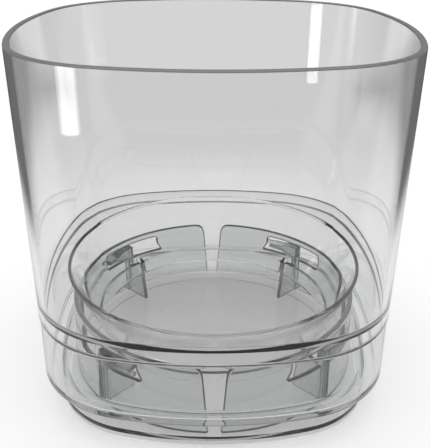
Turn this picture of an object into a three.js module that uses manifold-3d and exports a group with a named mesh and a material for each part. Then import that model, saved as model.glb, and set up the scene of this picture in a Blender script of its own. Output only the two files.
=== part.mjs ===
// Orchid pot: a clear rounded-square pot that stands on a water tray.
// Millimetres, +Z up, front towards -Y, origin in the middle of the footprint at the standing height.
//
// The pot is one thin moulding: a tapered wall, a floor with a deep round well, and a short skirt under
// the floor that seats on the tray's rim. The tray is a low moulding with a recessed foot and a round
// collar of four tabs. Each tab has a window with a slot below it, and a rib clip is hooked into them:
// its bar stands in the slot and its lug reaches through the window behind the tab. The upright plate
// of each clip stands in a slit at the bottom of the well, so the pot cannot turn, lifts straight off,
// and drains through the slits.

import * as THREE from 'three';
import { mergeVertices } from 'three/addons/utils/BufferGeometryUtils.js';
import Module from 'manifold-3d';

const wasm = await Module();
wasm.setup();

// Outlines seen from above: half the width, the radius of the bowed sides, the radius of the corners
const rimOutline = { half: 75, side: 143, corner: 45 };
const baseOutline = { half: 72.5, side: 160, corner: 42 };
const footOutline = { half: 66.1, side: 132, corner: 34.5 };

// Heights of the whole pot
const totalHeight = 144;
const jointHeight = 41;
const skirtDepth = 7.2;

// Pot moulding
const potWall = 2.4;
const rimEdge = 0.6;
const floorThickness = 2.2;
const floorFillet = 1.2;
const skirtChamfer = 0.5;

// Well in the pot's floor, measured on its inner face; its wall runs on below its floor as a foot
const wellMouthRadius = 61.4;
const wellMouthRounding = 1;
const wellFloorRadius = 50;
const wellDepth = 23.4;
const wellWall = 2;
const wellFootDrop = 5.4;
const wellFootEdge = 0.6;

// Tray moulding
const trayStepIn = 0.5;
const trayWall = 2.2;
const trayRimEdge = 0.8;
const trayCornerChamfer = 0.5;
const footHeight = 14.3;
const footBand = 2.6;
const footChamfer = 0.7;
const trayFloor = 2.2;
const trayFloorHeight = 4;
const coinRadius = 54;
const coinDepth = 0.6;

// Collar of four tabs, measured in the middle of its wall
const collarTopRadius = 60.1;
const collarBottomRadius = 61.1;
const collarWall = 2;
const collarHeight = 33;
const tabRoundingWidth = 4;
const tabRoundingHeight = 5.2;
const tabGapTop = 9.2;
const tabGapBottom = 4.6;
const tabCount = 4;

// Window in each tab, from the tab's middle to its two ends: the long end lies nearer the front or back
// gap, and is flared
const windowShortEnd = 15.5;
const windowLongEnd = 16.8;
const windowBottom = 22.3;
const windowTop = 29.7;
const windowFlare = 2.2;
const windowRounding = 1.5;

// Rib clip: an upright plate, a bar in the slot below the window, and a lug in the window
const clipInnerRadius = 46.1;
const clipInnerLean = 3;
const clipThickness = 2;
const clipInnerHeight = 20.5;
const clipOuterHeight = 15.5;
const clipRounding = 3;
const clipBarHeight = 24.9;
const clipBarWidth = 2.8;
const clipBarProud = 0.5;
const lugRootLength = 4;
const lugNeckLength = 8;
const lugNeckHeight = 2.6;
const lugTipHeight = 1.8;
const lugHookOverlap = 2.1;
const lugHookThickness = 1.3;
const seatGap = 0.3;
const lugClearance = 0.4;
const slotClearance = 0.4;
const slitClearance = 0.5;
const drainRise = 2;

// Fineness of the curved faces
const sideSteps = 12;
const cornerSteps = 12;
const ringSteps = 96;
const roundSteps = 3;
const lipSteps = 6;

const floorTop = jointHeight + skirtDepth;
const floorUnder = floorTop - floorThickness;

// Centre of the corner arc, on the diagonal, and half the angle that the side arc spans
function arcCentres({ half, side, corner }) {
  const sideCentre = half - side;
  const reach = side - corner;
  const cornerCentre = (sideCentre + Math.sqrt(2 * reach ** 2 - sideCentre ** 2)) / 2;
  const halfAngle = Math.atan2(cornerCentre, cornerCentre - sideCentre);
  return { sideCentre, cornerCentre, halfAngle };
}

// Points of a rounded square, drawn in from its edge by an inset; the arcs stay tangent
function squareRing(outline, inset, z) {
  const { sideCentre, cornerCentre, halfAngle } = arcCentres(outline);
  const side = outline.side - inset;
  const corner = outline.corner - inset;
  const quarter = [];
  for (let i = 0; i < sideSteps; i += 1) {
    const turn = halfAngle * (1 - 2 * i / sideSteps);
    quarter.push([side * Math.sin(turn), sideCentre + side * Math.cos(turn)]);
  }
  for (let i = 0; i < cornerSteps; i += 1) {
    const turn = -halfAngle - (Math.PI / 2 - 2 * halfAngle) * i / cornerSteps;
    quarter.push([-cornerCentre + corner * Math.sin(turn), cornerCentre + corner * Math.cos(turn)]);
  }
  const ring = [];
  for (let k = 0; k < 4; k += 1) {
    const c = Math.round(Math.cos(k * Math.PI / 2));
    const s = Math.round(Math.sin(k * Math.PI / 2));
    for (const [x, y] of quarter) ring.push([c * x - s * y, s * x + c * y, z]);
  }
  return ring;
}

// A circle whose points lie on the same rays as those of the base outline
const rays = squareRing(baseOutline, 0, 0).map(([x, y]) => Math.atan2(y, x));
function roundRing(radius, z) {
  return rays.map((angle) => [radius * Math.cos(angle), radius * Math.sin(angle), z]);
}

// Outline between the base and the rim, for the tapered wall
function wallOutline(z) {
  const share = (z - floorTop) / (totalHeight - floorTop);
  const mix = (key) => baseOutline[key] + (rimOutline[key] - baseOutline[key]) * share;
  return { half: mix('half'), side: mix('side'), corner: mix('corner') };
}

// Closed skin through rings listed from the middle of the underside, out, up, and back to the middle
function skin(rings) {
  const count = rings[0].length;
  const points = [[0, 0, rings[0][0][2]], ...rings.flat(), [0, 0, rings.at(-1)[0][2]]];
  const last = points.length - 1;
  const faces = [];
  for (let i = 0; i < count; i += 1) {
    const j = (i + 1) % count;
    faces.push(0, 1 + j, 1 + i);
    faces.push(last, last - count + i, last - count + j);
    for (let r = 0; r < rings.length - 1; r += 1) {
      const low = 1 + r * count;
      const high = low + count;
      faces.push(low + i, low + j, high + j, low + i, high + j, high + i);
    }
  }
  const geometry = new THREE.BufferGeometry();
  geometry.setAttribute('position', new THREE.Float32BufferAttribute(points.flat(), 3));
  geometry.setIndex(faces);
  return geometry;
}

// Exact solid from a closed geometry, and a geometry back from a solid
function solid(geometry) {
  const bare = new THREE.BufferGeometry();
  bare.setAttribute('position', geometry.getAttribute('position'));
  if (geometry.index) bare.setIndex(geometry.index);
  const merged = mergeVertices(bare, 1e-4);
  return new wasm.Manifold(new wasm.Mesh({
    numProp: 3,
    vertProperties: new Float32Array(merged.getAttribute('position').array),
    triVerts: new Uint32Array(merged.index.array),
  }));
}

function geometryOf(body) {
  const mesh = body.getMesh();
  const geometry = new THREE.BufferGeometry();
  geometry.setAttribute('position', new THREE.BufferAttribute(new Float32Array(mesh.vertProperties), 3));
  geometry.setIndex(new THREE.BufferAttribute(new Uint32Array(mesh.triVerts), 1));
  geometry.computeVertexNormals();
  return geometry;
}

// Closed ring about the z axis, from profile points (radius, z) listed anticlockwise
function turned(profile) {
  const points = [...profile, profile[0]].map(([r, z]) => new THREE.Vector2(r, z));
  return new THREE.LatheGeometry(points, ringSteps).rotateX(Math.PI / 2);
}

// Prism of a shape drawn with x across and y up, pushed out along the radius from one radius to another
function radialPrism(shape, from, to, angle) {
  const geometry = new THREE.ExtrudeGeometry(shape, {
    depth: to - from, bevelEnabled: false, curveSegments: roundSteps * 2,
  });
  const place = new THREE.Matrix4().makeBasis(
    new THREE.Vector3(0, 1, 0), new THREE.Vector3(0, 0, 1), new THREE.Vector3(1, 0, 0),
  );
  return solid(geometry.translate(0, 0, from).applyMatrix4(place).rotateZ(angle));
}

// Prism of a shape drawn with x along the radius and y up, centred on a radial plane
function uprightPlate(shape, thickness, angle) {
  const geometry = new THREE.ExtrudeGeometry(shape, {
    depth: thickness, bevelEnabled: false, curveSegments: roundSteps * 2,
  });
  return solid(geometry.translate(0, 0, -thickness / 2).rotateX(Math.PI / 2).rotateZ(angle));
}

function polygon(points) {
  return new THREE.Shape(points.map(([x, y]) => new THREE.Vector2(x, y)));
}

// Quarter round between two directions, as offsets (along, up) from its centre
function quarterRound(radius, fromDegrees, toDegrees, steps) {
  return Array.from({ length: steps + 1 }, (_, i) => {
    const turn = THREE.MathUtils.degToRad(fromDegrees + (toDegrees - fromDegrees) * i / steps);
    return [radius * Math.cos(turn), radius * Math.sin(turn)];
  });
}

const tabAngles = Array.from({ length: tabCount }, (_, i) => (i + 0.5) * 2 * Math.PI / tabCount);
const gapAngles = tabAngles.map((angle) => angle + Math.PI / tabCount);

// Upright plate of a rib clip, its inner edge leaning out; also cuts the slit that the plate stands in,
// grown by a clearance and raised so that it opens into the well as a drain
function clipOutline(growth, rise, bottom) {
  const inner = clipInnerRadius - growth;
  const corner = inner + clipInnerLean;
  const outer = collarInner(collarHeight) + growth;
  const cornerTop = trayFloorHeight + clipInnerHeight + growth + rise;
  const outerTop = trayFloorHeight + clipOuterHeight + growth + rise;
  const slope = (outerTop - cornerTop) / (outer - corner);
  const lean = clipInnerLean / (cornerTop - bottom);
  const shape = new THREE.Shape();
  shape.moveTo(outer, bottom);
  shape.lineTo(outer, outerTop);
  shape.lineTo(corner + clipRounding, cornerTop + slope * clipRounding);
  shape.quadraticCurveTo(corner, cornerTop, corner - lean * clipRounding, cornerTop - clipRounding);
  shape.lineTo(inner, bottom);
  return shape;
}

// Pot

function potBody() {
  const wellFloorTop = floorTop - wellDepth;
  const wellUnder = wellFloorTop - wellWall;
  const slope = (wellMouthRadius - wellFloorRadius) / wellDepth;
  const wallShift = wellWall * Math.hypot(1, slope);
  const coneOuter = (z) => wellFloorRadius + (z - wellFloorTop) * slope + wallShift;
  const footBottom = wellUnder - wellFootDrop;
  const rings = [];
  // Underside of the well, its foot and its cone, outwards and up
  rings.push(roundRing(coneOuter(wellUnder) - wallShift, wellUnder));
  rings.push(roundRing(coneOuter(footBottom) - wallShift, footBottom));
  rings.push(roundRing(coneOuter(footBottom) - wellFootEdge, footBottom));
  rings.push(roundRing(coneOuter(footBottom + wellFootEdge), footBottom + wellFootEdge));
  rings.push(roundRing(coneOuter(floorUnder), floorUnder));
  // Underside of the floor, then the skirt
  rings.push(squareRing(baseOutline, potWall, floorUnder));
  rings.push(squareRing(baseOutline, potWall, jointHeight + skirtChamfer));
  rings.push(squareRing(baseOutline, potWall - skirtChamfer, jointHeight));
  rings.push(squareRing(baseOutline, skirtChamfer, jointHeight));
  rings.push(squareRing(baseOutline, 0, jointHeight + skirtChamfer));
  rings.push(squareRing(baseOutline, 0, floorTop));
  // Rim, flat with rounded edges
  const shoulder = totalHeight - rimEdge;
  for (const [along, up] of quarterRound(rimEdge, 0, 90, roundSteps)) {
    rings.push(squareRing(wallOutline(shoulder), rimEdge - along, shoulder + up));
  }
  for (const [along, up] of quarterRound(rimEdge, 90, 180, roundSteps)) {
    rings.push(squareRing(wallOutline(shoulder), potWall - rimEdge - along, shoulder + up));
  }
  // Inner wall down to the fillet and the floor
  for (const [along, up] of quarterRound(floorFillet, 180, 270, roundSteps)) {
    const z = floorTop + floorFillet + up;
    rings.push(squareRing(baseOutline, potWall + floorFillet + along, z));
  }
  // Rounded mouth of the well, its cone and its floor
  const coneTurn = THREE.MathUtils.radToDeg(Math.atan(slope));
  const halfTurn = THREE.MathUtils.degToRad((90 - coneTurn) / 2);
  const mouthCentre = wellMouthRadius + wellMouthRounding * Math.tan(halfTurn);
  for (const [along, up] of quarterRound(wellMouthRounding, 90, 180 - coneTurn, roundSteps)) {
    rings.push(roundRing(mouthCentre + along, floorTop - wellMouthRounding + up));
  }
  rings.push(roundRing(wellFloorRadius, wellFloorTop));
  let body = solid(skin(rings));
  for (const angle of tabAngles) {
    const slit = clipOutline(slitClearance, drainRise, trayFloorHeight);
    body = body.subtract(uprightPlate(slit, clipThickness + 2 * slitClearance, angle));
  }
  return geometryOf(body);
}

// Tray

function trayShell() {
  const underside = trayFloorHeight - trayFloor;
  const trayOutline = {
    half: baseOutline.half - trayStepIn,
    side: baseOutline.side - trayStepIn,
    corner: baseOutline.corner - trayStepIn,
  };
  const rings = [
    roundRing(coinRadius - coinDepth, underside + coinDepth),
    roundRing(coinRadius, underside),
    squareRing(footOutline, footBand, underside),
    squareRing(footOutline, footBand, 0),
    squareRing(footOutline, footChamfer, 0),
    squareRing(footOutline, 0, footChamfer),
    squareRing(footOutline, 0, footHeight),
    squareRing(trayOutline, trayCornerChamfer, footHeight),
    squareRing(trayOutline, 0, footHeight + trayCornerChamfer),
    squareRing(trayOutline, 0, jointHeight - trayRimEdge),
    squareRing(trayOutline, trayRimEdge, jointHeight),
    squareRing(trayOutline, trayWall - trayRimEdge, jointHeight),
    squareRing(trayOutline, trayWall, jointHeight - trayRimEdge),
    squareRing(trayOutline, trayWall, footHeight + trayWall + trayCornerChamfer),
    squareRing(trayOutline, trayWall + trayCornerChamfer, footHeight + trayWall),
    squareRing(footOutline, trayWall, footHeight + trayWall),
    squareRing(footOutline, trayWall, trayFloorHeight),
  ];
  return solid(skin(rings));
}

function collarMiddle(z) {
  const share = (z - trayFloorHeight) / (collarHeight - trayFloorHeight);
  return collarBottomRadius + (collarTopRadius - collarBottomRadius) * share;
}

function collarInner(z) {
  return collarMiddle(z) - collarWall / 2;
}

function collarOuter(z) {
  return collarMiddle(z) + collarWall / 2;
}

// Gap between two tabs: narrow at the floor, wide at the top, with the tabs' corners rounded off
function gapShape() {
  const low = trayFloorHeight - trayFloor / 2;
  const top = collarHeight;
  const slope = (tabGapTop - tabGapBottom) / 2 / (collarHeight - trayFloorHeight);
  const halfAt = (z) => tabGapBottom / 2 + slope * (z - trayFloorHeight);
  const round = top - tabRoundingHeight;
  const wide = halfAt(top) + tabRoundingWidth;
  const shape = new THREE.Shape();
  shape.moveTo(-halfAt(low), low);
  shape.lineTo(halfAt(low), low);
  shape.lineTo(halfAt(round), round);
  shape.quadraticCurveTo(halfAt(top), top, wide, top);
  shape.lineTo(wide, top + collarWall);
  shape.lineTo(-wide, top + collarWall);
  shape.lineTo(-wide, top);
  shape.quadraticCurveTo(-halfAt(top), top, -halfAt(round), round);
  return shape;
}

// Window in a tab; side is 1 where the flared end lies anticlockwise seen from above, or -1
function windowShape(side) {
  const shoulder = (windowBottom + windowTop) / 2;
  const round = windowRounding;
  const points = [
    [windowLongEnd + windowFlare, windowBottom], [windowLongEnd, shoulder],
    [windowLongEnd, windowTop - round], [windowLongEnd - round, windowTop],
    [round - windowShortEnd, windowTop], [-windowShortEnd, windowTop - round],
    [-windowShortEnd, windowBottom + round], [round - windowShortEnd, windowBottom],
  ];
  const turnedPoints = points.map(([x, z]) => [side * x, z]);
  return polygon(side > 0 ? turnedPoints : turnedPoints.reverse());
}

// Slot below the window for the clip's bar
function slotShape() {
  const half = clipBarWidth / 2 + slotClearance;
  const top = (windowBottom + windowTop) / 2;
  return polygon([[-half, trayFloorHeight], [half, trayFloorHeight], [half, top], [-half, top]]);
}

function waterTray() {
  const root = trayFloorHeight - trayFloor / 2;
  const crown = collarWall / 2;
  const crownPoints = quarterRound(crown, 0, 180, lipSteps).map(
    ([along, up]) => [collarMiddle(collarHeight - crown) + along, collarHeight - crown + up],
  );
  let collar = solid(turned([[collarOuter(root), root], ...crownPoints, [collarInner(root), root]]));
  const from = collarTopRadius - 2 * collarWall;
  const to = collarBottomRadius + 2 * collarWall;
  for (const angle of gapAngles) collar = collar.subtract(radialPrism(gapShape(), from, to, angle));
  tabAngles.forEach((angle, i) => {
    const side = i % 2 === 0 ? 1 : -1;
    collar = collar.subtract(radialPrism(windowShape(side), from, to, angle));
    collar = collar.subtract(radialPrism(slotShape(), from, to, angle));
  });
  return geometryOf(trayShell().add(collar));
}

// Rib clips

function ribClip(angle) {
  const bottom = trayFloorHeight + seatGap;
  const top = trayFloorHeight + clipBarHeight;
  const barInner = collarInner(collarHeight) - clipBarWidth / 2;
  const barOuter = collarOuter(windowBottom) + clipBarProud;
  const plate = uprightPlate(clipOutline(0, 0, bottom), clipThickness, angle);
  const half = clipBarWidth / 2;
  const barShape = polygon([[-half, bottom], [half, bottom], [half, top], [-half, top]]);
  const bar = radialPrism(barShape, barInner, barOuter, angle);
  // The lug narrows from the bar to a neck, and ends in a hook behind the tab
  const middle = (windowBottom + windowTop) / 2;
  const end = windowShortEnd - lugClearance;
  const hookEnd = windowShortEnd + lugHookOverlap;
  const lugLow = windowBottom + lugClearance;
  const armShape = (reach) => polygon([
    [0, lugLow], [lugRootLength, lugLow],
    [lugNeckLength, middle - lugNeckHeight / 2], [reach, middle - lugTipHeight / 2],
    [reach, middle + lugTipHeight / 2], [lugNeckLength, middle + lugNeckHeight / 2],
    [lugRootLength, top], [0, top],
  ]);
  const armOuter = collarOuter(windowBottom) + seatGap + lugHookThickness;
  const hookInner = collarOuter(windowBottom) + seatGap;
  const arm = radialPrism(armShape(end), 0, armOuter * 2, angle).intersect(ringBand(barInner, armOuter));
  const hook = radialPrism(armShape(hookEnd), 0, armOuter * 2, angle).intersect(ringBand(hookInner, armOuter));
  return geometryOf(plate.add(bar).add(arm).add(hook));
}

// Ring as tall as the window, between two radii
function ringBand(inner, outer) {
  return solid(turned([
    [inner, windowBottom], [outer, windowBottom], [outer, windowTop], [inner, windowTop],
  ]));
}

function named(name, geometry, color, opacity) {
  const material = new THREE.MeshStandardMaterial({
    color, opacity, transparent: true, roughness: 0.06, metalness: 0,
  });
  const mesh = new THREE.Mesh(geometry, material);
  mesh.name = name;
  return mesh;
}

const clearPot = '#e3e6e7';
const clearTray = '#d3d7d9';
const clearClip = '#c3c8ca';

const orchidPot = new THREE.Group();
orchidPot.name = 'orchid_pot';
orchidPot.add(named('pot_body', potBody(), clearPot, 0.3));
orchidPot.add(named('water_tray', waterTray(), clearTray, 0.4));
const clipNames = ['rib_clip_back_right', 'rib_clip_back_left', 'rib_clip_front_left', 'rib_clip_front_right'];
tabAngles.forEach((angle, i) => {
  orchidPot.add(named(clipNames[i] ?? `rib_clip_${i + 1}`, ribClip(angle), clearClip, 0.6));
});

export default orchidPot;
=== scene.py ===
"""Clear orchid pot on its water tray, dressed in moulded polystyrene.

Clear plastic bends the light that passes through it, so each facet of a coarse wall would show. The
pot, the tray and the four rib clips are therefore made here as fine, smooth mouldings of the same sizes
as the frame's solids, with the small edge roundings of the mould, and take the place of those.
"""

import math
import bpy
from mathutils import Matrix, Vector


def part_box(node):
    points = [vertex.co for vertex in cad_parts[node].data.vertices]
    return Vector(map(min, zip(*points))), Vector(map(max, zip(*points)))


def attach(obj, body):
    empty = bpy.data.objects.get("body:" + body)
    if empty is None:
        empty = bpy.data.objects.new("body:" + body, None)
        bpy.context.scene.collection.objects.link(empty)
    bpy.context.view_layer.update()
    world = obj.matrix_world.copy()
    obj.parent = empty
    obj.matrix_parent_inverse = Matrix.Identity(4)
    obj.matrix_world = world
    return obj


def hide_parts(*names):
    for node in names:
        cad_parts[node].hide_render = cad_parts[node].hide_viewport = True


bl_info = {
    "name": "Clear Orchid Pot",
    "version": (1, 0, 0),
    "blender": (4, 5, 0),
    "location": "View3D > Sidebar > Orchid Pot",
    "description": "Builds a clear orchid pot, its water tray and rib clips, and a studio stage",
    "category": "Object",
}

import bmesh
import bpy
from mathutils import Matrix, Vector

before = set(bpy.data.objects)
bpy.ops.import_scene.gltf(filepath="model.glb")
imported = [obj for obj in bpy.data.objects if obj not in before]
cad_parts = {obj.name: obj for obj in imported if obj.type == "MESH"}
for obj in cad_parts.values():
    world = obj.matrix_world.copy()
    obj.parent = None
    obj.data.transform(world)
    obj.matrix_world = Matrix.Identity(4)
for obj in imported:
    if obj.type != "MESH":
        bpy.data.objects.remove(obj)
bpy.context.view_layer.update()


def mm(value):
    """Length given in millimetres."""
    return value * 0.001


# Outlines seen from above: half the width, the radius of the bowed sides, the radius of the corners
RIM_OUTLINE = {"half": mm(75), "side": mm(143), "corner": mm(45)}
BASE_OUTLINE = {"half": mm(72.5), "side": mm(160), "corner": mm(42)}
FOOT_OUTLINE = {"half": mm(66.1), "side": mm(132), "corner": mm(34.5)}

# Heights, read from the frame
TOTAL_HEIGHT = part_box("pot_body")[1].z
JOINT_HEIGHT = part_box("water_tray")[1].z

# Fineness of the curved faces
SIDE_STEPS = 36
CORNER_STEPS = 30
WALL_STEPS = 8
ROUND_STEPS = 6
STRIP_WIDTH = mm(1.4)
SHARP_ANGLE = math.radians(35)

# How many times an inset a corner may move when an outline is drawn in, and the cosine of the turn from the
# collar's radius below which a face counts as an edge
MITRE_LIMIT = 2
EDGE_TURN = 0.9

TAB_COUNT = 4
TAB_ANGLES = [(i + 0.5) * math.tau / TAB_COUNT for i in range(TAB_COUNT)]
CLIP_NODES = ["rib_clip_back_right", "rib_clip_back_left", "rib_clip_front_left", "rib_clip_front_right"]

# Picture that the camera's solution was made for, in pixels, and the camera's sensor, in millimetres
PICTURE_WIDTH = 430
PICTURE_HEIGHT = 448
OPTICAL_ROW = 209.6
SENSOR_WIDTH = 36

# Half the width of the studio's paper, and how often light may pass a face: each wall has two
PAPER_HALF = 4.0
LIGHT_BOUNCES = 40


def length(name, description, default):
    """Size that a user may change, in metres."""
    return bpy.props.FloatProperty(name=name, description=description, default=mm(default), unit="LENGTH")


def number(name, description, default):
    """Plain number that a user may change."""
    return bpy.props.FloatProperty(name=name, description=description, default=default, min=0)


def share(name, description, default):
    """Share from nought to one that a user may change."""
    return bpy.props.FloatProperty(
        name=name, description=description, default=default, min=0, max=1, subtype="FACTOR"
    )


def angle_setting(name, description, degrees):
    """Angle that a user may change, given in degrees."""
    return bpy.props.FloatProperty(
        name=name, description=description, default=math.radians(degrees), subtype="ANGLE"
    )


def linear(hex_colour):
    """Linear colour of an sRGB hex value."""
    channels = [int(hex_colour[i : i + 2], 16) / 255 for i in (1, 3, 5)]
    return [c / 12.92 if c <= 0.04045 else ((c + 0.055) / 1.055) ** 2.4 for c in channels]


def colour(name, description, default):
    """Colour that a user may change, from an sRGB hex value."""
    return bpy.props.FloatVectorProperty(
        name=name, description=description, default=linear(default), subtype="COLOR", min=0, max=1
    )


class PotSizes(bpy.types.PropertyGroup):
    """Sizes of the pot moulding."""

    wall: length("Wall", "Thickness of the tapered wall", 2.4)
    rim_edge: length("Rim edge", "Rounding of the flat rim's edges", 0.6)
    floor: length("Floor", "Thickness of the flat floor", 2.2)
    floor_fillet: length("Floor fillet", "Radius between the wall and the floor, inside", 0.6)
    skirt_depth: length("Skirt depth", "From the top of the floor down to the joint", 7.2)
    skirt_edge: length("Skirt edge", "Rounding of the skirt's lower edges", 0.5)
    mouth_radius: length("Well mouth", "Radius of the well where it meets the floor", 61.4)
    mouth_rounding: length("Mouth rounding", "Radius of the well's lip", 0.5)
    well_radius: length("Well floor", "Radius of the well's flat floor", 50)
    well_depth: length("Well depth", "Depth of the well below the floor", 23.4)
    well_wall: length("Well wall", "Thickness of the well's cone and floor", 2)
    foot_drop: length("Foot drop", "How far the cone runs on below the well", 5.4)
    foot_edge: length("Foot edge", "Rounding of that foot's edges", 0.6)


class TraySizes(bpy.types.PropertyGroup):
    """Sizes of the tray moulding."""

    step_in: length("Step in", "How far the tray's wall stands in from the pot's skirt", 0.5)
    wall: length("Wall", "Thickness of the tray's wall", 2.2)
    rim_edge: length("Rim edge", "Rounding of the tray's rim", 0.8)
    corner: length("Lower corner", "Rounding where the wall meets the foot", 1.4)
    foot_height: length("Foot height", "Height of the recessed foot", 14.3)
    foot_band: length("Foot band", "Width of the ring that the tray stands on", 2.6)
    foot_edge: length("Foot edge", "Rounding of the foot's lower edge", 0.7)
    floor: length("Floor", "Thickness of the tray's floor", 2.2)
    floor_height: length("Floor height", "Height of the top of the tray's floor", 4)
    coin_radius: length("Coin radius", "Radius of the shallow recess under the floor", 54)
    coin_depth: length("Coin depth", "Depth of the shallow recess under the floor", 0.6)


class CollarSizes(bpy.types.PropertyGroup):
    """Sizes of the tray's collar of four tabs, measured in the middle of its wall."""

    top_radius: length("Top", "Radius of the collar at its top", 60.1)
    bottom_radius: length("Bottom", "Radius of the collar at the floor", 61.1)
    wall: length("Wall", "Thickness of the collar", 2)
    height: length("Height", "Height of the top of the tabs", 33)
    edge: length("Edge", "Rounding of the tabs' edges", 0.95)
    corner_width: length("Corner width", "How far a tab's top corner is rounded along the collar", 4)
    corner_height: length("Corner height", "How far a tab's top corner is rounded downwards", 5.2)
    gap_top: length("Gap at the top", "Width between two tabs at their top", 9.2)
    gap_bottom: length("Gap at the floor", "Width between two tabs at the floor", 4.6)
    short_end: length("Window's short end", "From the tab's middle to the near end of its window", 15.5)
    long_end: length("Window's long end", "From the tab's middle to the flared end of its window", 16.8)
    window_bottom: length("Window bottom", "Height of the window's lower edge", 22.3)
    window_top: length("Window top", "Height of the window's upper edge", 29.7)
    flare: length("Window flare", "How far the flared end's lower corner runs out", 2.2)
    window_corner: length("Window corner", "Rounding of the window's corners", 1.5)


class ClipSizes(bpy.types.PropertyGroup):
    """Sizes of the four rib clips."""

    inner_radius: length("Inner edge", "Radius of the plate's inner edge", 46.1)
    inner_lean: length("Inner lean", "How far the plate's inner edge leans out at its top", 3)
    thickness: length("Thickness", "Thickness of the upright plate", 2)
    inner_height: length("Inner height", "Height of the plate at its inner corner", 20.5)
    outer_height: length("Outer height", "Height of the plate at the collar", 15.5)
    corner: length("Corner", "Rounding of the plate's inner corner", 3)
    edge: length("Edge", "Rounding of the plate's and the bar's edges", 0.5)
    bar_height: length("Bar height", "Height of the bar and of the lug's root", 24.9)
    bar_width: length("Bar width", "Width of the bar in the slot", 2.8)
    bar_proud: length("Bar stands proud", "How far the bar passes the collar", 0.5)
    root: length("Lug root", "Length of the lug's root", 4)
    neck: length("Lug neck", "Where the lug has narrowed", 8)
    neck_height: length("Neck height", "Height of the lug at its neck", 2.6)
    tip_height: length("Tip height", "Height of the lug at its tip", 1.8)
    lug_edge: length("Lug edge", "Rounding of the lug's edges", 0.35)
    hook_overlap: length("Hook overlap", "How far the hook passes the window's end", 2.1)
    hook_thickness: length("Hook thickness", "Thickness of the hook behind the tab", 1.3)
    seat_gap: length("Seat gap", "Gap between the clip and the tray's floor", 0.3)
    window_gap: length("Window gap", "Clearance of the lug in the window", 0.4)
    slot_gap: length("Slot gap", "Clearance of the bar in the slot", 0.4)
    slit_gap: length("Slit gap", "Clearance of the plate in the well's slit", 0.5)
    drain_rise: length("Drain rise", "How far the slit runs on above the plate, as a drain", 2)


class PlasticFinish(bpy.types.PropertyGroup):
    """Look of the clear plastic."""

    tint: colour("Tint", "Colour of the light left after a long way through the plastic", "#8C9496")
    pot_density: number("Pot absorption", "Absorption of the pot's plastic, per metre", 14)
    tray_density: number("Tray absorption", "Absorption of the tray's plastic, per metre", 45)
    clip_density: number("Clip absorption", "Absorption of the clips' plastic, per metre", 170)
    ior: number("IOR", "Index of refraction of polystyrene", 1.59)
    polish: share("Polish", "Roughness of the polished faces", 0.01)
    clip_polish: share("Clip polish", "Roughness of the clips' plainer faces", 0.22)
    edge_polish: share("Edge polish", "Roughness of the rim and of the tabs' edges", 0.3)
    edge_scuff: share("Edge scuff", "Share of light that the rim scatters instead of letting through", 0.2)
    # Painted shade on the tabs: a faint tint on their faces and a dark one on their rounded edges
    tab_painted_shade: colour("Tab painted shade", "Colour of the light that passes the tabs' faces", "#E9EAEA")
    edge_painted_shade: colour("Edge painted shade", "Colour of the light that passes the tabs' edges", "#8E9294")


class StageSettings(bpy.types.PropertyGroup):
    """Floor, light and camera."""

    floor_colour: colour("Floor", "Colour of the studio floor", "#CBCBCB")
    # Painted glow: the paper glows of its own, and no lamp lies below it
    paper_painted_glow: share("Floor glow", "Light that comes through the paper from below", 0.54)
    # Painted pool of light on the paper, with painted shadow under the object and painted shade round it
    painted_field_level: share("Field level", "Brightness of the lit paper, seen through plastic or mirrored", 0.9)
    painted_shadow_level: share("Under", "Share of that brightness under the object", 0.84)
    painted_fade_level: share("Far", "Share of that brightness far from the object", 0.78)
    painted_dim_level: share("Dim", "Share of that brightness beside the lit field and before it", 0.22)
    painted_shadow_radius: length("Under radius", "Radius of the paper that counts as under the object", 54)
    painted_shadow_edge: length("Under edge", "Width over which the paper brightens round that", 16)
    painted_fade_start: length("Far start", "Distance from the middle at which the paper begins to fade", 120)
    painted_fade_edge: length("Far edge", "Width over which the paper fades from there", 180)
    field_half: length("Field", "Half the width of the lit field", 150)
    field_shift: length("Field shift", "How far the lit field lies to the right", 6)
    field_edge: length("Field edge", "Width over which the lit field fades at its sides", 90)
    painted_dim_start: length("Dim start", "How far behind the middle the dim corners begin", 0)
    painted_dim_edge: length("Dim edge", "Width over which the dim corners fade towards the front", 90)
    field_front: length("Field front", "How far the lit field reaches to the front", 100)
    front_edge: length("Front edge", "Width over which the lit field fades at its front", 70)
    widening_start: length("Widening start", "How far behind the object the field begins to widen", 450)
    widening: number("Widening", "How much wider each side grows per length beyond that", 0.5)
    sky_colour: colour("Surroundings", "Colour of the studio round the object", "#FFFFFF")
    wall_light: number("Walls", "Brightness of the studio's walls, mirrored and as light", 0.3)
    wall_through: number("Walls through plastic", "Brightness of the walls, seen through plastic", 0.5)
    ceiling_light: number("Ceiling", "Brightness of the studio's ceiling", 1.4)
    streak: number("Streaks", "Brightness of the two strip lamps", 5)
    left_spread: angle_setting("Left spread", "Angle over which the left lamp shines", 120)
    back_spread: angle_setting("Back spread", "Angle over which the back lamp shines, behind its grid", 26)
    wall_top: angle_setting("Wall top", "Elevation up to which the walls reach", 38)
    ceiling_edge: angle_setting("Ceiling edge", "Elevation from which the ceiling is fully bright", 55)
    lens: bpy.props.FloatProperty(
        name="Lens", description="Focal length of the camera, in millimetres", default=58.9,
        subtype="DISTANCE_CAMERA",
    )
    eye: bpy.props.FloatVectorProperty(
        name="Camera place", description="Where the camera stands", subtype="TRANSLATION",
        default=(mm(-3.23), mm(-269.87), mm(189.28)),
    )
    pitch: angle_setting("Pitch", "How far the camera looks down", 24.22)
    yaw: angle_setting("Yaw", "How far the camera turns to the right", 0.81)
    roll: angle_setting("Roll", "How far the camera leans", 0.34)


# Outlines and rings


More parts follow.
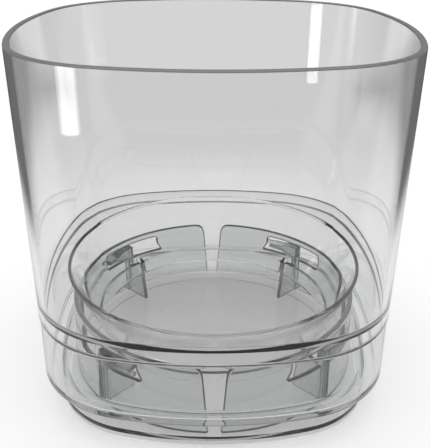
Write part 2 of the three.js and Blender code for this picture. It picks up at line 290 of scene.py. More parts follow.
def arc_centres(outline):
    """Centre of the side arc, centre of the corner arc on the diagonal, and half the side arc's angle."""
    side_centre = outline["half"] - outline["side"]
    reach = outline["side"] - outline["corner"]
    corner_centre = (side_centre + math.sqrt(2 * reach**2 - side_centre**2)) / 2
    half_angle = math.atan2(corner_centre, corner_centre - side_centre)
    return side_centre, corner_centre, half_angle


def square_ring(outline, inset, z):
    """Points of a rounded square, drawn in from its edge by an inset; the arcs stay tangent."""
    side_centre, corner_centre, half_angle = arc_centres(outline)
    side = outline["side"] - inset
    corner = outline["corner"] - inset
    quarter = []
    for i in range(SIDE_STEPS):
        turn = half_angle * (1 - 2 * i / SIDE_STEPS)
        quarter.append((side * math.sin(turn), side_centre + side * math.cos(turn)))
    for i in range(CORNER_STEPS):
        turn = -half_angle - (math.pi / 2 - 2 * half_angle) * i / CORNER_STEPS
        quarter.append((-corner_centre + corner * math.sin(turn), corner_centre + corner * math.cos(turn)))
    ring = []
    for k in range(4):
        c = round(math.cos(k * math.pi / 2))
        s = round(math.sin(k * math.pi / 2))
        ring += [Vector((c * x - s * y, s * x + c * y, z)) for x, y in quarter]
    return ring


RAYS = [math.atan2(point.y, point.x) for point in square_ring(BASE_OUTLINE, 0, 0)]


def round_ring(radius, z):
    """Circle whose points lie on the same rays as those of the base outline."""
    return [Vector((radius * math.cos(angle), radius * math.sin(angle), z)) for angle in RAYS]


def arc(radius, start, end, steps=ROUND_STEPS):
    """Offsets (along, up) from the centre of an arc, between two directions in degrees."""
    turns = [math.radians(start + (end - start) * i / steps) for i in range(steps + 1)]
    return [(radius * math.cos(turn), radius * math.sin(turn)) for turn in turns]


def bend(start, control, end, steps=ROUND_STEPS):
    """Points of a quadratic curve, its ends included."""
    points = []
    for i in range(steps + 1):
        t = i / steps
        mixed = [(1 - t) ** 2 * a + 2 * t * (1 - t) * b + t**2 * c for a, b, c in zip(start, control, end)]
        points.append(tuple(mixed))
    return points


def rounded(corners):
    """Closed outline through corners (across, up, rounding); a rounding of nought keeps the corner sharp."""
    outline = []
    count = len(corners)
    for i, (x, y, rounding) in enumerate(corners):
        here = Vector((x, y))
        if rounding == 0:
            outline.append(tuple(here))
            continue
        before = Vector(corners[i - 1][:2])
        after = Vector(corners[(i + 1) % count][:2])
        start = here + (before - here).normalized() * rounding
        end = here + (after - here).normalized() * rounding
        outline += bend(start, here, end)
    return outline


def drawn_in(outline, inset):
    """Closed outline, listed anticlockwise, with each side moved inwards."""
    points = [Vector(point) for point in outline]
    moved = []
    for before, here, after in zip(points[-1:] + points[:-1], points, points[1:] + points[:1]):
        towards = (here - before).normalized()
        away = (after - here).normalized()
        inwards = Vector((-towards.y - away.y, towards.x + away.x)).normalized()
        slant = inwards.dot(Vector((-towards.y, towards.x)))
        moved.append(here + inwards * inset / max(slant, 1 / MITRE_LIMIT))
    return moved


# Meshes


def new_piece(name, vertices, faces):
    """Object with a new mesh, linked to the scene."""
    mesh = bpy.data.meshes.new(name)
    mesh.from_pydata(vertices, [], faces)
    mesh.update()
    piece = bpy.data.objects.new(name, mesh)
    bpy.context.scene.collection.objects.link(piece)
    return piece


def skin(name, rings):
    """Closed skin through rings, from the middle of the underside out, up, and back to the middle."""
    count = len(rings[0])
    vertices = [Vector((0, 0, rings[0][0].z))]
    for ring in rings:
        vertices += ring
    vertices.append(Vector((0, 0, rings[-1][0].z)))
    last = len(vertices) - 1
    faces = []
    for i in range(count):
        j = (i + 1) % count
        faces.append((0, 1 + j, 1 + i))
        faces.append((last, last - count + i, last - count + j))
        for r in range(len(rings) - 1):
            low = 1 + r * count
            high = low + count
            faces.append((low + i, low + j, high + j, high + i))
    return new_piece(name, vertices, faces)


def slab(outline, near, far, edge, place, strips=False):
    """Slab of an outline between two depths with rounded edges; place turns (across, up, depth) into a point.

    A slab that is bent round the collar is first cut into narrow strips.
    """
    layers = [(near + edge + up, edge + along) for along, up in arc(edge, 270, 180)]
    layers += [(far - edge + up, edge + along) for along, up in arc(edge, 180, 90)]
    count = len(outline)
    vertices = []
    for depth, inset in layers:
        vertices += [(*point, depth) for point in drawn_in(outline, inset)]
    faces = [tuple(range(count))[::-1], tuple(range(len(vertices) - count, len(vertices)))]
    for k in range(len(layers) - 1):
        for i in range(count):
            j = (i + 1) % count
            faces.append((k * count + i, k * count + j, (k + 1) * count + j, (k + 1) * count + i))
    piece = new_piece("slab", vertices, faces)
    form = bmesh.new()
    form.from_mesh(piece.data)
    if strips:
        reach = max(abs(x) for x, _ in outline)
        half_count = math.floor(reach / STRIP_WIDTH)
        for i in range(-half_count, half_count + 1):
            everything = [*form.verts, *form.edges, *form.faces]
            middle = (STRIP_WIDTH * i, 0, 0)
            bmesh.ops.bisect_plane(form, geom=everything, dist=mm(0.001), plane_co=middle, plane_no=(1, 0, 0))
    for vertex in form.verts:
        vertex.co = place(*vertex.co)
    form.to_mesh(piece.data)
    form.free()
    return outward(piece)


def outward(piece):
    """Turns the faces of a closed mesh outwards."""
    mesh = piece.data
    volume = 0.0
    for polygon in mesh.polygons:
        corners = [mesh.vertices[i].co for i in polygon.vertices]
        for b, c in zip(corners[1:], corners[2:]):
            volume += corners[0].dot(b.cross(c))
    if volume < 0:
        mesh.flip_normals()
    return piece


def along_plane(angle):
    """Places a slab on a radial plane: across is along the radius, depth is to the side."""
    turn = Matrix.Rotation(angle, 3, "Z")
    return lambda x, y, depth: turn @ Vector((x, depth, y))


def facing_out(angle):
    """Places a slab square to a radius: depth is along the radius."""
    turn = Matrix.Rotation(angle, 3, "Z")
    return lambda x, y, depth: turn @ Vector((depth, x, y))


def settle(piece):
    """Applies the piece's modifiers to its mesh."""
    graph = bpy.context.evaluated_depsgraph_get()
    settled = piece.evaluated_get(graph)
    mesh = bpy.data.meshes.new_from_object(settled, preserve_all_data_layers=True, depsgraph=graph)
    old = piece.data
    piece.modifiers.clear()
    piece.data = mesh
    bpy.data.meshes.remove(old)
    mesh.name = piece.name


def combine(piece, others, operation):
    """Joins other closed pieces to this one, or cuts them out of it."""
    for other in others:
        boolean = piece.modifiers.new("Combine", "BOOLEAN")
        boolean.operation = operation
        boolean.solver = "EXACT"
        boolean.object = other
    settle(piece)
    for other in others:
        mesh = other.data
        bpy.data.objects.remove(other)
        bpy.data.meshes.remove(mesh)
    return piece


def smooth(piece):
    """Smooth faces with crisp edges; flat faces keep their own direction beside a rounding."""
    mesh = piece.data
    mesh.polygons.foreach_set("use_smooth", [True] * len(mesh.polygons))
    mesh.set_sharp_from_angle(angle=SHARP_ANGLE)
    weighted = piece.modifiers.new("Weighted normals", "WEIGHTED_NORMAL")
    weighted.keep_sharp = True
    settle(piece)
    return piece


def hand_in(piece, name, body, node):
    """Names a finished piece, lets it ride its body and puts it in the place of a frame's solid."""
    piece.name = name
    piece.data.name = name
    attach(piece, body)
    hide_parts(node)


# Materials


def add_node(tree, kind, settings=None, inputs=None):
    """Adds a node; an input's value is a number or colour, or the socket that feeds it."""
    node = tree.nodes.new(kind)
    for key, value in (settings or {}).items():
        setattr(node, key, value)
    for key, value in (inputs or {}).items():
        if isinstance(value, bpy.types.NodeSocket):
            tree.links.new(value, node.inputs[key])
        else:
            node.inputs[key].default_value = value
    return node


def empty_material(name):
    """Material with an empty node tree."""
    material = bpy.data.materials.new(name)
    material.use_nodes = True
    material.node_tree.nodes.clear()
    return material


def clear_polystyrene(name, density, finish, rough, tint=(1, 1, 1), scuff=0):
    """Clear injection-moulded polystyrene, slightly grey through its thickness.

    A polished mould leaves faces that mirror sharply. The rim and the tabs' edges, where the mould's halves
    meet, are duller: a roughness blurs them and a share of the light is scattered. A tint paints shade on
    the tabs: a dark painted shade on their rounded edges and a faint one on their faces.
    """
    material = empty_material(name)
    tree = material.node_tree
    shader = add_node(tree, "ShaderNodeBsdfPrincipled")
    # A tint other than white is painted shade, on the tabs' faces and edges
    shader.inputs["Base Color"].default_value = (*tint, 1)
    shader.inputs["IOR"].default_value = finish.ior
    shader.inputs["Transmission Weight"].default_value = 1 - scuff
    shader.inputs["Roughness"].default_value = rough
    body = add_node(tree, "ShaderNodeVolumeAbsorption")
    body.inputs["Color"].default_value = (*finish.tint, 1)
    body.inputs["Density"].default_value = density
    ends = {"Surface": shader.outputs["BSDF"], "Volume": body.outputs[0]}
    add_node(tree, "ShaderNodeOutputMaterial", inputs=ends)
    return material


# Pot


def wall_outline(z, floor_top):
    """Outline of the tapered wall at a height between the floor and the rim."""
    risen = (z - floor_top) / (TOTAL_HEIGHT - floor_top)
    return {key: BASE_OUTLINE[key] + (RIM_OUTLINE[key] - BASE_OUTLINE[key]) * risen for key in BASE_OUTLINE}


def plate_outline(floor, collar, clip, growth, rise, bottom):
    """Upright plate of a rib clip, grown by a clearance and raised for the slit that it stands in."""
    inner = clip.inner_radius - growth
    outer = collar.top_radius - collar.wall / 2 + growth
    corner_top = floor + clip.inner_height + growth + rise
    outer_top = floor + clip.outer_height + growth + rise
    return rounded([
        (inner, bottom, 0), (outer, bottom, 0), (outer, outer_top, 0),
        (inner + clip.inner_lean, corner_top, clip.corner),
    ])


def well_rings(pot, well_top, floor_under):
    """Underside of the well, its foot and its cone, outwards and up to the underside of the floor."""
    well_under = well_top - pot.well_wall
    slope = (pot.mouth_radius - pot.well_radius) / pot.well_depth
    across_wall = pot.well_wall * math.hypot(1, slope)
    foot_bottom = well_under - pot.foot_drop
    edge = pot.foot_edge

    def inner(z):
        return pot.well_radius + (z - well_top) * slope

    profile = [(inner(well_under) * part / 3, well_under) for part in (1, 2, 3)]
    turn_height = foot_bottom + edge
    turn_radius = inner(turn_height)
    profile += [(turn_radius + edge + along, turn_height + up) for along, up in arc(edge, 180, 270)]
    profile += [
        (turn_radius + across_wall - edge + along, turn_height + up) for along, up in arc(edge, 270, 360)
    ]
    for i in range(1, WALL_STEPS + 1):
        z = turn_height + (floor_under - turn_height) * i / WALL_STEPS
        profile.append((inner(z) + across_wall, z))
    return [round_ring(r, z) for r, z in profile]


def wall_rings(pot, floor_top):
    """Outer wall, flat rim with rounded edges and inner wall."""
    edge = pot.rim_edge
    shoulder = TOTAL_HEIGHT - edge
    heights = [floor_top + (shoulder - floor_top) * i / WALL_STEPS for i in range(WALL_STEPS)]
    rings = [square_ring(wall_outline(z, floor_top), 0, z) for z in heights]
    for along, up in arc(edge, 0, 90):
        rings.append(square_ring(wall_outline(shoulder, floor_top), edge - along, shoulder + up))
    for along, up in arc(edge, 90, 180):
        inset = pot.wall - edge - along
        rings.append(square_ring(wall_outline(shoulder, floor_top), inset, shoulder + up))
    inner_low = floor_top + pot.floor_fillet
    for i in range(1, WALL_STEPS):
        z = shoulder + (inner_low - shoulder) * i / WALL_STEPS
        rings.append(square_ring(wall_outline(z, floor_top), pot.wall, z))
    for along, up in arc(pot.floor_fillet, 180, 270):
        z = inner_low + up
        rings.append(square_ring(wall_outline(z, floor_top), pot.wall + pot.floor_fillet + along, z))
    return rings


def pot_rings(pot):
    """Rings of the whole pot moulding."""
    floor_top = JOINT_HEIGHT + pot.skirt_depth
    floor_under = floor_top - pot.floor
    well_top = floor_top - pot.well_depth
    rings = well_rings(pot, well_top, floor_under)
    edge = pot.skirt_edge
    rings.append(square_ring(BASE_OUTLINE, pot.wall, floor_under))
    for along, up in arc(edge, 180, 270):
        rings.append(square_ring(BASE_OUTLINE, pot.wall - edge - along, JOINT_HEIGHT + edge + up))
    for along, up in arc(edge, 270, 360):
        rings.append(square_ring(BASE_OUTLINE, edge - along, JOINT_HEIGHT + edge + up))
    rings += wall_rings(pot, floor_top)
    slope = (pot.mouth_radius - pot.well_radius) / pot.well_depth
    cone_turn = math.degrees(math.atan(slope))
    mouth_centre = pot.mouth_radius + pot.mouth_rounding * math.tan(math.radians((90 - cone_turn) / 2))
    for along, up in arc(pot.mouth_rounding, 90, 180 - cone_turn):
        rings.append(round_ring(mouth_centre + along, floor_top - pot.mouth_rounding + up))
    cone_start = rings[-1][0].z
    for i in range(1, WALL_STEPS + 1):
        z = cone_start + (well_top - cone_start) * i / WALL_STEPS
        rings.append(round_ring(pot.well_radius + (z - well_top) * slope, z))
    rings += [round_ring(pot.well_radius * part / 3, well_top) for part in (2, 1)]
    return rings


class ORCHIDPOT_OT_pot(bpy.types.Operator):
    """Make the clear pot moulding"""

    bl_idname = "orchid_pot.pot"
    bl_label = "Clear Pot"

    def execute(self, context):
        settings = context.scene.orchid_pot
        clip = settings.clip
        floor = settings.tray.floor_height
        pot = skin("clear_pot", pot_rings(settings.pot))
        slit = plate_outline(floor, settings.collar, clip, clip.slit_gap, clip.drain_rise, floor)
        half = clip.thickness / 2 + clip.slit_gap
        cutters = [slab(slit, -half, half, clip.slit_gap, along_plane(angle)) for angle in TAB_ANGLES]
        combine(pot, cutters, "DIFFERENCE")
        smooth(pot)
        finish = settings.finish
        plastic = clear_polystyrene("Clear polystyrene, pot", finish.pot_density, finish, finish.polish)
        rim = clear_polystyrene(
            "Clear polystyrene, matt rim", finish.pot_density, finish, finish.edge_polish,
            scuff=finish.edge_scuff,
        )
        pot.data.materials.append(plastic)
        pot.data.materials.append(rim)
        rim_bottom = TOTAL_HEIGHT - settings.pot.rim_edge
        for polygon in pot.data.polygons:
            polygon.material_index = 1 if polygon.center.z > rim_bottom else 0
        hand_in(pot, "clear_pot", "pot", "pot_body")
        return {"FINISHED"}


# Tray


def collar_middle(tray, collar, z):
    """Radius of the middle of the collar's wall at a height."""
    risen = (z - tray.floor_height) / (collar.height - tray.floor_height)
    return collar.bottom_radius + (collar.top_radius - collar.bottom_radius) * risen


def round_collar(tray, collar, angle):
    """Places a slab bent round the middle, with its depth measured from the collar's tapered wall."""

    def place(x, y, depth):
        radius = collar_middle(tray, collar, y) + depth
        turn = angle + x / collar.top_radius
        return Vector((radius * math.cos(turn), radius * math.sin(turn), y))

    return place


def round_axis(collar, angle):
    """Places a slab bent round the middle, with its depth measured from the axis."""

    def place(x, y, depth):
        turn = angle + x / collar.top_radius
        return Vector((depth * math.cos(turn), depth * math.sin(turn), y))

    return place


def around(collar, across):
    """Arc along the collar that spans a straight distance to the side of a radius."""
    return collar.top_radius * math.asin(across / collar.top_radius)


def tray_rings(tray):
    """Rings of the tray's shell, without its collar."""
    underside = tray.floor_height - tray.floor
    outline = {key: BASE_OUTLINE[key] - tray.step_in for key in BASE_OUTLINE}
    shelf = tray.foot_height + tray.wall
    corner = tray.corner
    edge = tray.rim_edge
    shoulder = JOINT_HEIGHT - edge
    rings = [
        round_ring(tray.coin_radius / 2, underside + tray.coin_depth),
        round_ring(tray.coin_radius - tray.coin_depth, underside + tray.coin_depth),
        round_ring(tray.coin_radius, underside),
        square_ring(FOOT_OUTLINE, tray.foot_band, underside),
        square_ring(FOOT_OUTLINE, tray.foot_band, 0),
    ]
    for along, up in arc(tray.foot_edge, 270, 360):
        rings.append(square_ring(FOOT_OUTLINE, tray.foot_edge - along, tray.foot_edge + up))
    rings.append(square_ring(FOOT_OUTLINE, 0, tray.foot_height))
    for along, up in arc(corner, 270, 360):
        rings.append(square_ring(outline, corner - along, tray.foot_height + corner + up))
    for along, up in arc(edge, 0, 90):
        rings.append(square_ring(outline, edge - along, shoulder + up))
    for along, up in arc(edge, 90, 180):
        rings.append(square_ring(outline, tray.wall - edge - along, shoulder + up))
    for along, up in arc(corner, 180, 270):
        rings.append(square_ring(outline, tray.wall + corner + along, shelf + corner + up))
    rings.append(square_ring(FOOT_OUTLINE, tray.wall, shelf))
    rings.append(square_ring(FOOT_OUTLINE, tray.wall, tray.floor_height))
    rings += [round_ring(tray.coin_radius * part / 3, tray.floor_height) for part in (3, 2, 1)]
    return rings


def tab_edge(tray, collar, z):
    """Arc from the middle of a tab to the gap beside it, at a height."""
    risen = (z - tray.floor_height) / (collar.height - tray.floor_height)
    half_gap = (collar.gap_bottom + (collar.gap_top - collar.gap_bottom) * risen) / 2
    return collar.top_radius * math.pi / TAB_COUNT - around(collar, half_gap)


def tab_outline(tray, collar, clip, side):
    """One tab with its window and the slot below it; side is 1 where the flared end lies anticlockwise."""
    root = tray.floor_height - tray.floor / 2
    top = collar.height
    low_edge = tab_edge(tray, collar, root)
    shoulder = top - collar.corner_height
    wide = tab_edge(tray, collar, shoulder)
    high = tab_edge(tray, collar, top)
    corner = bend((wide, shoulder), (high, top), (high - collar.corner_width, top), ROUND_STEPS * 2)
    slot = clip.bar_width / 2 + clip.slot_gap
    bottom = collar.window_bottom
    middle = (bottom + collar.window_top) / 2
    near = around(collar, collar.short_end)
    far = around(collar, collar.long_end)
    flare = around(collar, collar.long_end + collar.flare)
    turn = collar.window_corner
    window = [
        (-slot, root, 0), (-slot, bottom, turn), (-near, bottom, turn), (-near, collar.window_top, turn),
        (far, collar.window_top, turn), (far, middle, turn), (flare, bottom, turn / 2),
        (slot, bottom, turn), (slot, root, 0),
    ]
    outline = [(-low_edge, root), *rounded(window), (low_edge, root), *corner]
    outline += [(-x, z) for x, z in reversed(corner)]
    if side < 0:
        outline = [(-x, z) for x, z in reversed(outline)]
    return outline


def mark_tab_edges(piece, tray, collar):
    """Gives the tabs' faces the second material and their rounded edges the third, both with painted shade.
    """
    reach = collar.bottom_radius + collar.wall
    for polygon in piece.data.polygons:
        outwards = Vector((polygon.center.x, polygon.center.y, 0))
        if polygon.center.z > tray.floor_height + collar.edge and outwards.length < reach:
            turned_away = abs(polygon.normal.dot(outwards.normalized())) < EDGE_TURN
            polygon.material_index = 2 if turned_away else 1


class ORCHIDPOT_OT_tray(bpy.types.Operator):
    """Make the clear water tray moulding"""

    bl_idname = "orchid_pot.tray"
    bl_label = "Water Tray"

    def execute(self, context):
        settings = context.scene.orchid_pot
        tray = settings.tray
        collar = settings.collar
        piece = skin("clear_tray", tray_rings(tray))
        half = collar.wall / 2
        tabs = []
        for i, angle in enumerate(TAB_ANGLES):
            outline = tab_outline(tray, collar, settings.clip, 1 if i % 2 == 0 else -1)
            place = round_collar(tray, collar, angle)
            tabs.append(slab(outline, -half, half, collar.edge, place, strips=True))
        combine(piece, tabs, "UNION")
        smooth(piece)
        finish = settings.finish
        plastic = clear_polystyrene("Clear polystyrene, tray", finish.tray_density, finish, finish.polish)
        # Copies of the tray's plastic with painted shade: faint on the tabs' faces, dark on their edges
        painted_shade_tab_faces = clear_polystyrene(
            "Clear polystyrene, tabs with painted shade", finish.tray_density, finish, finish.polish, tint=finish.tab_painted_shade
        )
        edges = clear_polystyrene(
            "Clear polystyrene, tab edges with painted shade", finish.tray_density, finish, finish.edge_polish,
            tint=finish.edge_painted_shade,
        )
        for material in (plastic, painted_shade_tab_faces, edges):
            piece.data.materials.append(material)
        mark_tab_edges(piece, tray, collar)
        hand_in(piece, "clear_tray", "tray", "water_tray")
        return {"FINISHED"}


# Rib clips


def lug(tray, collar, clip, angle, bar_inner, top):
    """Lug that narrows from the bar along the window, and its hook behind the tab."""
    middle = (collar.window_bottom + collar.window_top) / 2
    low = collar.window_bottom + clip.window_gap
    end = around(collar, collar.short_end - clip.window_gap)
    hook_end = around(collar, collar.short_end + clip.hook_overlap)
    hook_inner = collar_middle(tray, collar, collar.window_bottom) + collar.wall / 2 + clip.seat_gap
    hook_outer = hook_inner + clip.hook_thickness
    half_neck = clip.neck_height / 2
    half_tip = clip.tip_height / 2
    turn = clip.edge
    nested = clip.lug_edge / 3
    arm = rounded([
        (0, low, 0), (clip.root, low, turn), (clip.neck, middle - half_neck, turn),
        (end, middle - half_tip, turn), (end, middle + half_tip, turn),
        (clip.neck, middle + half_neck, turn), (clip.root, top - nested, turn * 2), (0, top - nested, 0),
    ])
    half_hook = half_tip - nested
    hook = rounded([
        (clip.neck, middle - half_hook, 0), (hook_end, middle - half_hook, turn),
        (hook_end, middle + half_hook, turn), (clip.neck, middle + half_hook, 0),
    ])
    place = round_axis(collar, angle)
    return [
        slab(arm, bar_inner + nested, hook_outer, clip.lug_edge, place, strips=True),
        slab(hook, hook_inner, hook_outer - nested, clip.lug_edge, place, strips=True),
    ]


def rib_clip(settings, angle):
    """Upright plate with its bar, and a lug that ends in a hook behind the tab."""
    tray = settings.tray
    collar = settings.collar
    clip = settings.clip
    bottom = tray.floor_height + clip.seat_gap
    top = tray.floor_height + clip.bar_height
    bar_inner = collar.top_radius - collar.wall / 2 - clip.bar_width / 2
    bar_outer = collar_middle(tray, collar, collar.window_bottom) + collar.wall / 2 + clip.bar_proud
    half = clip.thickness / 2
    plate = plate_outline(tray.floor_height, collar, clip, 0, 0, bottom)
    piece = slab(plate, -half, half, clip.edge, along_plane(angle))
    half_bar = clip.bar_width / 2
    bar = [(-half_bar, bottom), (half_bar, bottom), (half_bar, top), (-half_bar, top)]
    parts = [slab(bar, bar_inner, bar_outer, clip.edge, facing_out(angle))]
    parts += lug(tray, collar, clip, angle, bar_inner, top)
    combine(piece, parts, "UNION")
    return smooth(piece)


class ORCHIDPOT_OT_clips(bpy.types.Operator):
    """Make the four rib clips"""

    bl_idname = "orchid_pot.clips"
    bl_label = "Rib Clips"

    def execute(self, context):
        settings = context.scene.orchid_pot
        finish = settings.finish
        plastic = clear_polystyrene(
            "Clear polystyrene, clips", finish.clip_density, finish, finish.clip_polish
        )
        for node, angle in zip(CLIP_NODES, TAB_ANGLES):
            piece = rib_clip(settings, angle)
            piece.data.materials.append(plastic)
            hand_in(piece, node.replace("rib", "clear"), "tray", node)
        return {"FINISHED"}


# Stage


def fade(tree, value, start, end, low, high):
    """Smooth change from one level to another while a value goes from a start to an end."""
    return add_node(tree, "ShaderNodeMapRange", {"interpolation_type": "SMOOTHSTEP"}, {
        "Value": value, "From Min": start, "From Max": end, "To Min": low, "To Max": high,
    }).outputs["Result"]


def calculate(tree, operation, first, second):
    """Result of a sum of two values or sockets."""
    return add_node(tree, "ShaderNodeMath", {"operation": operation}, {0: first, 1: second}).outputs[0]


def blend(tree, factor, first, second):
    """Value between two others; a factor of nought gives the first."""
    mix = add_node(tree, "ShaderNodeMix", {"data_type": "FLOAT"}, {0: factor, 2: first, 3: second})
    return mix.outputs[0]


def painted_light_field(tree, stage):
    """Painted light and shade on the paper by place: a painted pool of light, a painted shadow
    under the object, a painted fade far from it and painted dim shade beside the field.

    The paper before the object is painted dim too.
    """
    place = add_node(tree, "ShaderNodeNewGeometry").outputs["Position"]
    distance = add_node(tree, "ShaderNodeVectorMath", {"operation": "LENGTH"}, {0: place}).outputs["Value"]
    parts = add_node(tree, "ShaderNodeSeparateXYZ", inputs={0: place})
    across = calculate(tree, "SUBTRACT", parts.outputs["X"], stage.field_shift)
    sideways = calculate(tree, "ABSOLUTE", across, 0)
    far_back = calculate(tree, "SUBTRACT", parts.outputs["Y"], stage.widening_start)
    widened = calculate(tree, "MULTIPLY", calculate(tree, "MAXIMUM", far_back, 0), stage.widening)
    beyond = calculate(tree, "SUBTRACT", sideways, widened)
    painted_shadow_end = stage.painted_shadow_radius + stage.painted_shadow_edge
    painted_fade_end = stage.painted_fade_start + stage.painted_fade_edge
    side_end = stage.field_half + stage.field_edge
    painted_dim_end = stage.painted_dim_start + stage.painted_dim_edge
    beside = fade(tree, beyond, stage.field_half, side_end, 0, 1)
    backwards = fade(tree, parts.outputs["Y"], stage.painted_dim_start, painted_dim_end, 0, 1)
    front_end = -stage.field_front - stage.front_edge
    shares = [
        # Painted shadow under the object, painted fade far from it, painted dim shade beside and before the
        # field
        fade(tree, distance, stage.painted_shadow_radius, painted_shadow_end, stage.painted_shadow_level, 1),
        fade(tree, distance, stage.painted_fade_start, painted_fade_end, 1, stage.painted_fade_level),
        blend(tree, calculate(tree, "MULTIPLY", beside, backwards), 1.0, stage.painted_dim_level),
        fade(tree, parts.outputs["Y"], front_end, -stage.field_front, stage.painted_dim_level, 1),
    ]
    level = stage.painted_field_level
    for part in shares:
        level = calculate(tree, "MULTIPLY", level, part)
    return level


def painted_paper_level(tree, stage):
    """Paper's brightness: even seen straight, painted light and shade seen through plastic or mirrored."""
    path = add_node(tree, "ShaderNodeLightPath")
    glossy = path.outputs["Is Glossy Ray"]
    through = path.outputs["Is Transmission Ray"]
    by_plastic = calculate(tree, "MAXIMUM", glossy, through)
    return blend(tree, by_plastic, 1.0, painted_light_field(tree, stage))


def studio_floor(stage):
    """Wide sheet of matt white paper, lit from above, with a painted glow of its own and no lamp below."""
    half = PAPER_HALF
    corners = [(-half, -half, 0), (half, -half, 0), (half, half, 0), (-half, half, 0)]
    floor = new_piece("studio_floor", corners, [(0, 1, 2, 3)])
    material = empty_material("Studio floor, paper with painted light and shade")
    tree = material.node_tree
    shader = add_node(tree, "ShaderNodeBsdfPrincipled")
    shader.inputs["Roughness"].default_value = 0.9
    shader.inputs["Specular IOR Level"].default_value = 0
    # Painted glow of the paper, which is no lamp
    shader.inputs["Emission Strength"].default_value = stage.paper_painted_glow
    # Painted light and shade by place, for rays that come from the plastic
    level = painted_paper_level(tree, stage)
    paper = add_node(tree, "ShaderNodeVectorMath", {"operation": "SCALE"}, {
        0: tuple(stage.floor_colour), "Scale": level,
    })
    tree.links.new(paper.outputs[0], shader.inputs["Base Color"])
    tree.links.new(level, shader.inputs["Emission Color"])
    add_node(tree, "ShaderNodeOutputMaterial", inputs={"Surface": shader.outputs["BSDF"]})
    floor.data.materials.append(material)


def surroundings(scene, stage):
    """Studio with grey walls and a bright ceiling, which shows white where it is seen straight."""
    world = bpy.data.worlds.new("Studio")
    world.use_nodes = True
    tree = world.node_tree
    tree.nodes.clear()
    direction = add_node(tree, "ShaderNodeTexCoord")
    parts = add_node(tree, "ShaderNodeSeparateXYZ", inputs={0: direction.outputs["Generated"]})
    path = add_node(tree, "ShaderNodeLightPath")
    walls = blend(tree, path.outputs["Is Transmission Ray"], stage.wall_light, stage.wall_through)
    low = math.sin(stage.wall_top)
    high = math.sin(stage.ceiling_edge)
    light = fade(tree, parts.outputs["Z"], low, high, walls, stage.ceiling_light)
    background = add_node(tree, "ShaderNodeBackground", inputs={
        "Color": (*stage.sky_colour, 1), "Strength": blend(tree, path.outputs["Is Camera Ray"], light, 1.0),
    })
    add_node(tree, "ShaderNodeOutputWorld", inputs={"Surface": background.outputs[0]})
    scene.world = world


def strip_lamp(scene, name, place, target, size, radiance, spread):
    """Small upright soft lamp that stands on the paper and shows as a streak.

    Its radiance is the one on its axis; a narrow spread stands for a grid before the lamp.
    """
    width, height = size
    data = bpy.data.lights.new(name, "AREA")
    data.shape = "RECTANGLE"
    data.size = width
    data.size_y = height
    data.spread = spread
    gathered = math.tan(spread / 2) / (math.tan(spread / 2) - spread / 2)
    data.energy = radiance * math.pi * width * height / gathered
    lamp = bpy.data.objects.new(name, data)
    lamp.location = place
    ahead = Vector((target[0] - place[0], target[1] - place[1], 0))
    lamp.rotation_euler = ahead.to_track_quat("-Z", "Y").to_euler()
    scene.collection.objects.link(lamp)


def photographer(scene, stage):
    """Camera that stands where the photograph was taken."""
    data = bpy.data.cameras.new("Camera")
    camera = bpy.data.objects.new("Camera", data)
    scene.collection.objects.link(camera)
    level = math.cos(stage.pitch)
    ahead = Vector((math.sin(stage.yaw) * level, math.cos(stage.yaw) * level, -math.sin(stage.pitch)))
    right = Vector((math.cos(stage.yaw), -math.sin(stage.yaw), 0))
    up = right.cross(ahead)
    lean = Matrix.Rotation(-stage.roll, 3, ahead)
    right = lean @ right
    up = lean @ up
    turn = Matrix((right, up, -ahead)).transposed().to_4x4()
    camera.matrix_world = Matrix.Translation(stage.eye) @ turn
    data.sensor_fit = "HORIZONTAL"
    data.sensor_width = SENSOR_WIDTH
    data.lens = stage.lens
    data.shift_y = (OPTICAL_ROW - PICTURE_HEIGHT / 2) / PICTURE_WIDTH
    data.clip_start = mm(10)
    scene.camera = camera


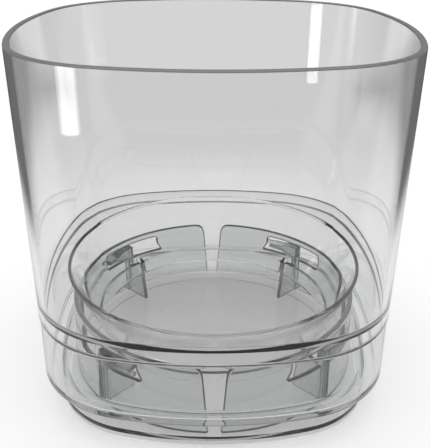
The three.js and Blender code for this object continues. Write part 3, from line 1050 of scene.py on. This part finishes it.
class ORCHIDPOT_OT_stage(bpy.types.Operator):
    """Make the floor, the light and the camera"""

    bl_idname = "orchid_pot.stage"
    bl_label = "Stage"

    def execute(self, context):
        scene = context.scene
        stage = scene.orchid_pot.stage
        studio_floor(stage)
        surroundings(scene, stage)
        left_place = (mm(-330), mm(-240), mm(48))
        back_place = (mm(-420), mm(180), mm(60))
        back_target = (mm(60), mm(60))
        left_size = (mm(110), mm(90))
        back_size = (mm(50), mm(110))
        strip_lamp(scene, "Left lamp", left_place, (0, 0), left_size, stage.streak, stage.left_spread)
        strip_lamp(scene, "Back lamp", back_place, back_target, back_size, stage.streak, stage.back_spread)
        photographer(scene, stage)
        scene.view_settings.view_transform = "Standard"
        scene.cycles.max_bounces = LIGHT_BOUNCES
        scene.cycles.transmission_bounces = LIGHT_BOUNCES
        return {"FINISHED"}


class OrchidPotSettings(bpy.types.PropertyGroup):
    """All settings of the add-on."""

    pot: bpy.props.PointerProperty(type=PotSizes)
    tray: bpy.props.PointerProperty(type=TraySizes)
    collar: bpy.props.PointerProperty(type=CollarSizes)
    clip: bpy.props.PointerProperty(type=ClipSizes)
    finish: bpy.props.PointerProperty(type=PlasticFinish)
    stage: bpy.props.PointerProperty(type=StageSettings)


class ORCHIDPOT_PT_panel(bpy.types.Panel):
    """Panel that lists the pieces"""

    bl_label = "Orchid Pot"
    bl_idname = "ORCHIDPOT_PT_panel"
    bl_space_type = "VIEW_3D"
    bl_region_type = "UI"
    bl_category = "Orchid Pot"

    def draw(self, context):
        for operator in OPERATORS:
            self.layout.operator(operator.bl_idname)


OPERATORS = [ORCHIDPOT_OT_stage, ORCHIDPOT_OT_pot, ORCHIDPOT_OT_tray, ORCHIDPOT_OT_clips]
GROUPS = [PotSizes, TraySizes, CollarSizes, ClipSizes, PlasticFinish, StageSettings, OrchidPotSettings]
CLASSES = [*GROUPS, *OPERATORS, ORCHIDPOT_PT_panel]


def register():
    """Registers the classes and the scene's settings."""
    for cls in CLASSES:
        bpy.utils.register_class(cls)
    bpy.types.Scene.orchid_pot = bpy.props.PointerProperty(type=OrchidPotSettings)


def unregister():
    """Removes the scene's settings and the classes."""
    del bpy.types.Scene.orchid_pot
    for cls in reversed(CLASSES):
        bpy.utils.unregister_class(cls)


def main():
    """Builds the whole picture."""
    register()
    bpy.ops.orchid_pot.stage()
    bpy.ops.orchid_pot.pot()
    bpy.ops.orchid_pot.tray()
    bpy.ops.orchid_pot.clips()


if __name__ == "__main__":
    main()
